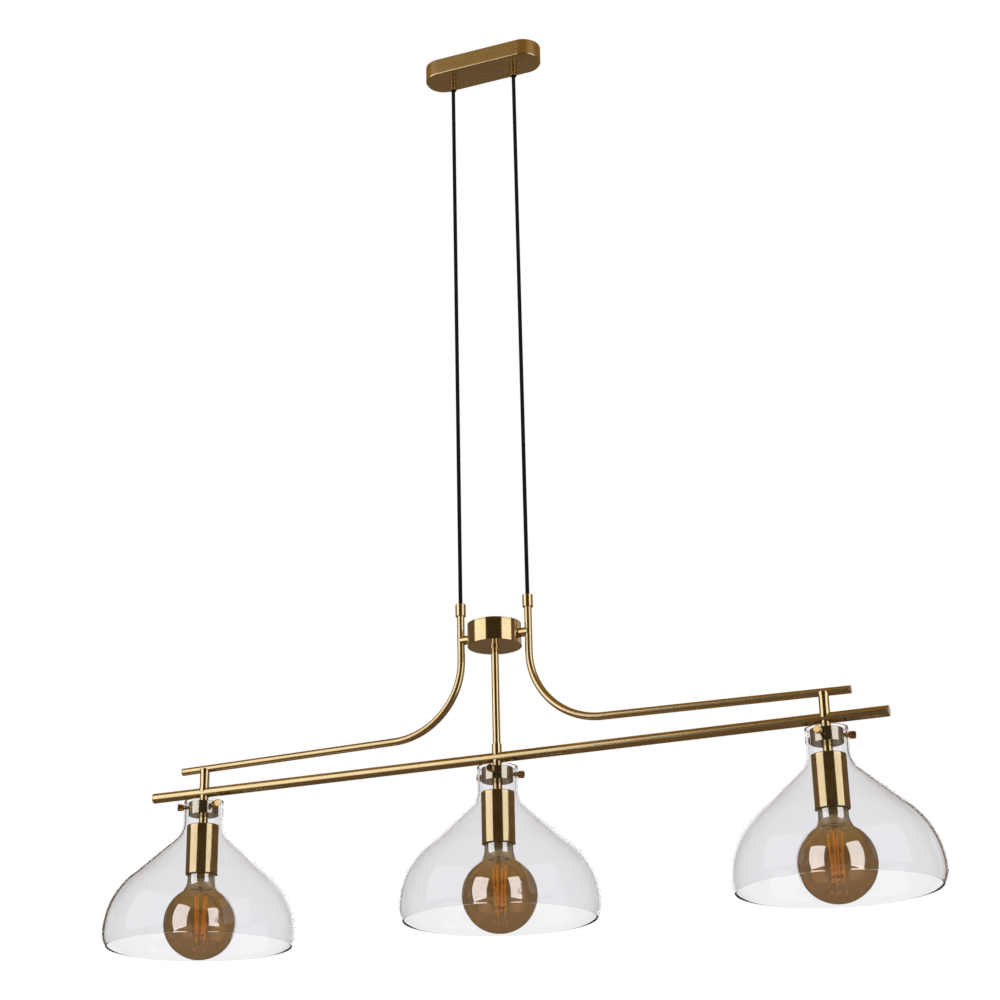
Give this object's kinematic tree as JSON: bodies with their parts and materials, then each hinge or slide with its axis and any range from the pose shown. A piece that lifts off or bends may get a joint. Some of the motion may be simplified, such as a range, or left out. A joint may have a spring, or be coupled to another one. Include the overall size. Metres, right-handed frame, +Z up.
{
  "type": "linear island pendant",
  "caption": "Linear island pendant: a brass bar on two cords carries clear glass bell shades with amber globe bulbs in long lamp cups.",
  "frame": {"origin": "centre of the ceiling bracket's upper face, on the ceiling", "axes": "+Z up, +X along the bar, everything hangs below z = 0"},
  "size_m": [1.0946, 0.2506, 1.2582],
  "materials": {
    "antique_brass": "brushed, clear lacquered, warm antique brass",
    "knurled_brass": "knurled brass",
    "polished_nickel": "polished nickel",
    "zinc_steel": "bright zinc plate",
    "black_fabric": "woven black sleeve",
    "white_plastic": "moulded",
    "porcelain": "glazed porcelain",
    "contact_brass": "pressed brass",
    "clear_glass": "clear blown glass",
    "amber_glass": "amber metallised glass",
    "cap_metal": "pressed, plated",
    "filament": "coated light sticks"
  },
  "bodies": {
    "ceiling_set": {"ceiling_bracket": "zinc_steel", "canopy_cover": "antique_brass", "canopy_screws": "zinc_steel", "terminal_block": "white_plastic", "cord_grips": "antique_brass", "grip_nuts": "zinc_steel", "cord_tails": "black_fabric"},
    "cords": {"cord_left": "black_fabric", "cord_right": "black_fabric"},
    "frame": {"ferrules": "antique_brass", "arm_left": "antique_brass", "arm_right": "antique_brass", "arm_pegs": "antique_brass", "arm_end_plugs": "antique_brass", "drum_body": "antique_brass", "drum_lid": "antique_brass", "drum_lid_screws": "zinc_steel", "drum_nuts": "zinc_steel", "wire_connectors": "white_plastic", "centre_stem": "antique_brass", "stem_collar": "antique_brass", "stem_sleeve": "antique_brass", "main_bar": "antique_brass", "bar_end_plugs": "antique_brass", "tube_links": "antique_brass", "socket_contacts": "contact_brass", "lamp_tube_left": "antique_brass", "gallery_left": "polished_nickel", "lamp_cup_left": "antique_brass", "lampholder_left": "porcelain", "shade_left": "clear_glass", "lamp_tube_middle": "antique_brass", "gallery_middle": "polished_nickel", "lamp_cup_middle": "antique_brass", "lampholder_middle": "porcelain", "shade_middle": "clear_glass", "lamp_tube_right": "antique_brass", "gallery_right": "polished_nickel", "lamp_cup_right": "antique_brass", "lampholder_right": "porcelain", "shade_right": "clear_glass"},
    "bulb_left": {"bulb_glass_left": "amber_glass", "bulb_cap_left": "cap_metal", "bulb_filaments_left": "filament"},
    "bulb_middle": {"bulb_glass_middle": "amber_glass", "bulb_cap_middle": "cap_metal", "bulb_filaments_middle": "filament"},
    "bulb_right": {"bulb_glass_right": "amber_glass", "bulb_cap_right": "cap_metal", "bulb_filaments_right": "filament"},
    "thumbscrew_left_1": {"thumbscrew_left_1": "knurled_brass"},
    "thumbscrew_left_2": {"thumbscrew_left_2": "knurled_brass"},
    "thumbscrew_left_3": {"thumbscrew_left_3": "knurled_brass"},
    "thumbscrew_middle_1": {"thumbscrew_middle_1": "knurled_brass"},
    "thumbscrew_middle_2": {"thumbscrew_middle_2": "knurled_brass"},
    "thumbscrew_middle_3": {"thumbscrew_middle_3": "knurled_brass"},
    "thumbscrew_right_1": {"thumbscrew_right_1": "knurled_brass"},
    "thumbscrew_right_2": {"thumbscrew_right_2": "knurled_brass"},
    "thumbscrew_right_3": {"thumbscrew_right_3": "knurled_brass"}
  },
  "joints": [
    {"name": "sway", "type": "hinge", "parent": "ceiling_set", "child": "cords", "pos_m": [0, 0, -0.0405], "axis": [1, 0, 0], "range_deg": [-10, 10]},
    {"name": "hanging_height", "type": "slide", "parent": "cords", "child": "frame", "axis": [0, 0, 1], "range_m": [0, 0.4], "deforming": ["cord_left", "cord_right"]},
    {"name": "bulb_left_out", "type": "slide", "parent": "frame", "child": "bulb_left", "axis": [0, 0, -1], "range_m": [0, 0.16]},
    {"name": "bulb_middle_out", "type": "slide", "parent": "frame", "child": "bulb_middle", "axis": [0, 0, -1], "range_m": [0, 0.16]},
    {"name": "bulb_right_out", "type": "slide", "parent": "frame", "child": "bulb_right", "axis": [0, 0, -1], "range_m": [0, 0.16]},
    {"name": "thumbscrew_left_1_back", "type": "slide", "parent": "frame", "child": "thumbscrew_left_1", "axis": [0, 1, 0], "range_m": [0, 0.01]},
    {"name": "thumbscrew_left_2_back", "type": "slide", "parent": "frame", "child": "thumbscrew_left_2", "axis": [-0.866, -0.5, 0], "range_m": [0, 0.01]},
    {"name": "thumbscrew_left_3_back", "type": "slide", "parent": "frame", "child": "thumbscrew_left_3", "axis": [0.866, -0.5, 0], "range_m": [0, 0.01]},
    {"name": "thumbscrew_middle_1_back", "type": "slide", "parent": "frame", "child": "thumbscrew_middle_1", "axis": [0.809, 0.5878, 0], "range_m": [0, 0.01]},
    {"name": "thumbscrew_middle_2_back", "type": "slide", "parent": "frame", "child": "thumbscrew_middle_2", "axis": [-0.9135, 0.4067, 0], "range_m": [0, 0.01]},
    {"name": "thumbscrew_middle_3_back", "type": "slide", "parent": "frame", "child": "thumbscrew_middle_3", "axis": [0.1045, -0.9945, 0], "range_m": [0, 0.01]},
    {"name": "thumbscrew_right_1_back", "type": "slide", "parent": "frame", "child": "thumbscrew_right_1", "axis": [0.9135, 0.4067, 0], "range_m": [0, 0.01]},
    {"name": "thumbscrew_right_2_back", "type": "slide", "parent": "frame", "child": "thumbscrew_right_2", "axis": [-0.809, 0.5878, 0], "range_m": [0, 0.01]},
    {"name": "thumbscrew_right_3_back", "type": "slide", "parent": "frame", "child": "thumbscrew_right_3", "axis": [-0.1045, -0.9945, 0], "range_m": [0, 0.01]}
  ]
}
